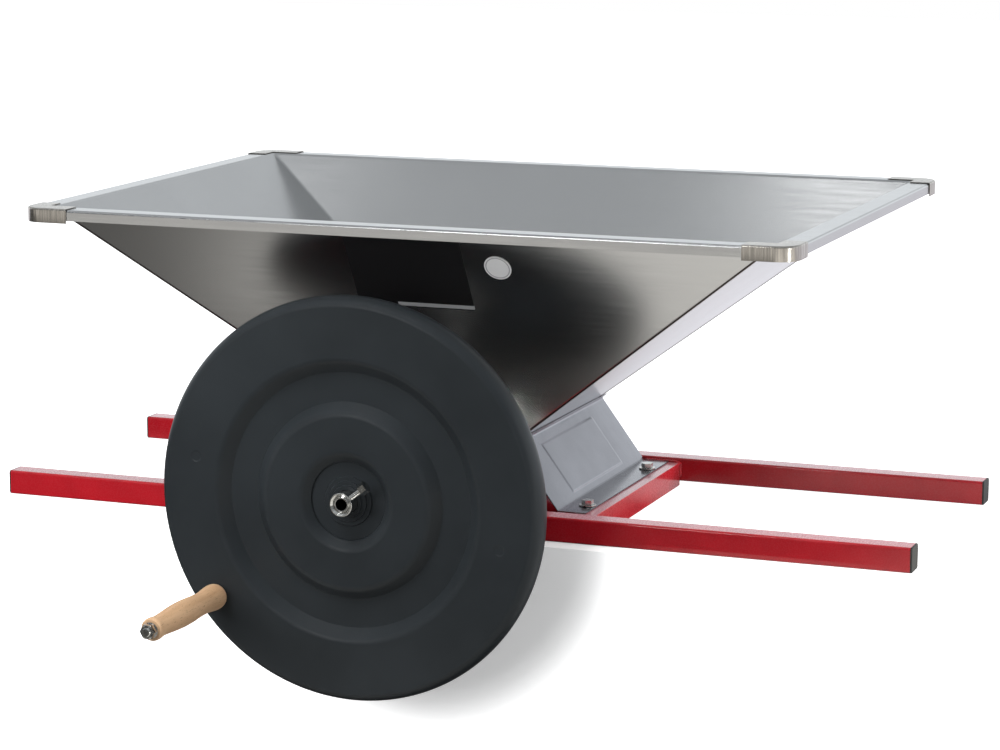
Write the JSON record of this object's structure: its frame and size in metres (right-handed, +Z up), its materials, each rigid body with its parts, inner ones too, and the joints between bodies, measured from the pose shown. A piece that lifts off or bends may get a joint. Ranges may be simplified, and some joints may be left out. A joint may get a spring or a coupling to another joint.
{
  "type": "grape crusher",
  "caption": "Hand cranked fruit crusher: a sheet steel hopper over two geared lobed rollers on a frame of long square bars, turned by a large flywheel with a wooden handle.",
  "frame": {"origin": "middle of the front bar's underside", "axes": "+X along the bars, +Y from the flywheel towards the back, +Z up"},
  "size_m": [1.1686, 0.8897, 0.5604],
  "materials": {
    "hopper_stainless": "cold rolled satin stainless sheet",
    "corner_steel": "brushed stainless sheet",
    "zinc_sheet": "galvanised steel sheet, dull grey",
    "zinc_plated": "bright zinc plated steel",
    "red_paint": "semi gloss red enamel with a fine texture",
    "cap_plastic": "dark grey plastic",
    "nylon": "off white nylon",
    "roller_aluminium": "cast and turned",
    "gear_iron": "greased cast iron",
    "wheel_plastic": "semi matt charcoal plastic with a fine grain",
    "beech": "turned beech, clear varnish",
    "plate_black": "black foil",
    "label_white": "white foil"
  },
  "bodies": {
    "frame": {"front_bar": "red_paint", "front_end_plate": "zinc_sheet", "front_left_bearing": "nylon", "front_left_bearing_bolt_1": "zinc_plated", "front_left_bearing_bolt_2": "zinc_plated", "front_left_end_cap": "cap_plastic", "front_left_rim_corner": "corner_steel", "front_right_bearing": "nylon", "front_right_bearing_bolt_1": "zinc_plated", "front_right_bearing_bolt_2": "zinc_plated", "front_right_end_cap": "cap_plastic", "front_right_rim_corner": "corner_steel", "hopper": "hopper_stainless", "left_cover": "zinc_sheet", "left_cross_member": "red_paint", "left_front_cover_bolt": "zinc_plated", "left_front_cover_washer": "zinc_plated", "left_rear_cover_bolt": "zinc_plated", "left_rear_cover_washer": "zinc_plated", "name_plate": "plate_black", "rear_bar": "red_paint", "rear_end_plate": "zinc_sheet", "rear_left_bearing": "nylon", "rear_left_bearing_bolt_1": "zinc_plated", "rear_left_bearing_bolt_2": "zinc_plated", "rear_left_end_cap": "cap_plastic", "rear_left_rim_corner": "corner_steel", "rear_right_bearing": "nylon", "rear_right_bearing_bolt_1": "zinc_plated", "rear_right_bearing_bolt_2": "zinc_plated", "rear_right_end_cap": "cap_plastic", "rear_right_rim_corner": "corner_steel", "right_cover": "zinc_sheet", "right_cross_member": "red_paint", "right_front_cover_bolt": "zinc_plated", "right_front_cover_washer": "zinc_plated", "right_rear_cover_bolt": "zinc_plated", "right_rear_cover_washer": "zinc_plated", "round_label": "label_white"},
    "crank": {"drive_front_collar": "zinc_plated", "drive_gear": "gear_iron", "drive_rear_collar": "zinc_plated", "drive_roller": "roller_aluminium", "drive_shaft": "zinc_plated", "flywheel": "wheel_plastic", "flywheel_hub": "zinc_plated", "handle_nut": "zinc_plated", "handle_spindle": "zinc_plated", "handle_washer": "zinc_plated", "hub_clamp_bolt": "zinc_plated", "hub_clamp_nut": "zinc_plated", "hub_screw_1": "zinc_plated", "hub_screw_2": "zinc_plated", "hub_screw_3": "zinc_plated"},
    "idler": {"driven_front_collar": "zinc_plated", "driven_gear": "gear_iron", "driven_rear_collar": "zinc_plated", "driven_roller": "roller_aluminium", "driven_shaft": "zinc_plated"},
    "grip": {"handle_grip": "beech"}
  },
  "joints": [
    {"name": "crank_spin", "type": "hinge", "parent": "frame", "child": "crank", "pos_m": [-0.045, 0, 0.0669], "axis": [0, 1, 0], "continuous": true},
    {"name": "idler_spin", "type": "hinge", "parent": "frame", "child": "idler", "pos_m": [0.045, 0, 0.0669], "axis": [0, 1, 0], "continuous": true},
    {"name": "grip_spin", "type": "hinge", "parent": "crank", "child": "grip", "pos_m": [-0.21191, -0.25, -0.05888], "axis": [0, 1, 0], "continuous": true}
  ],
  "couplings": [
    {"joint": "idler_spin", "follows": "crank_spin", "ratio": -1}
  ]
}
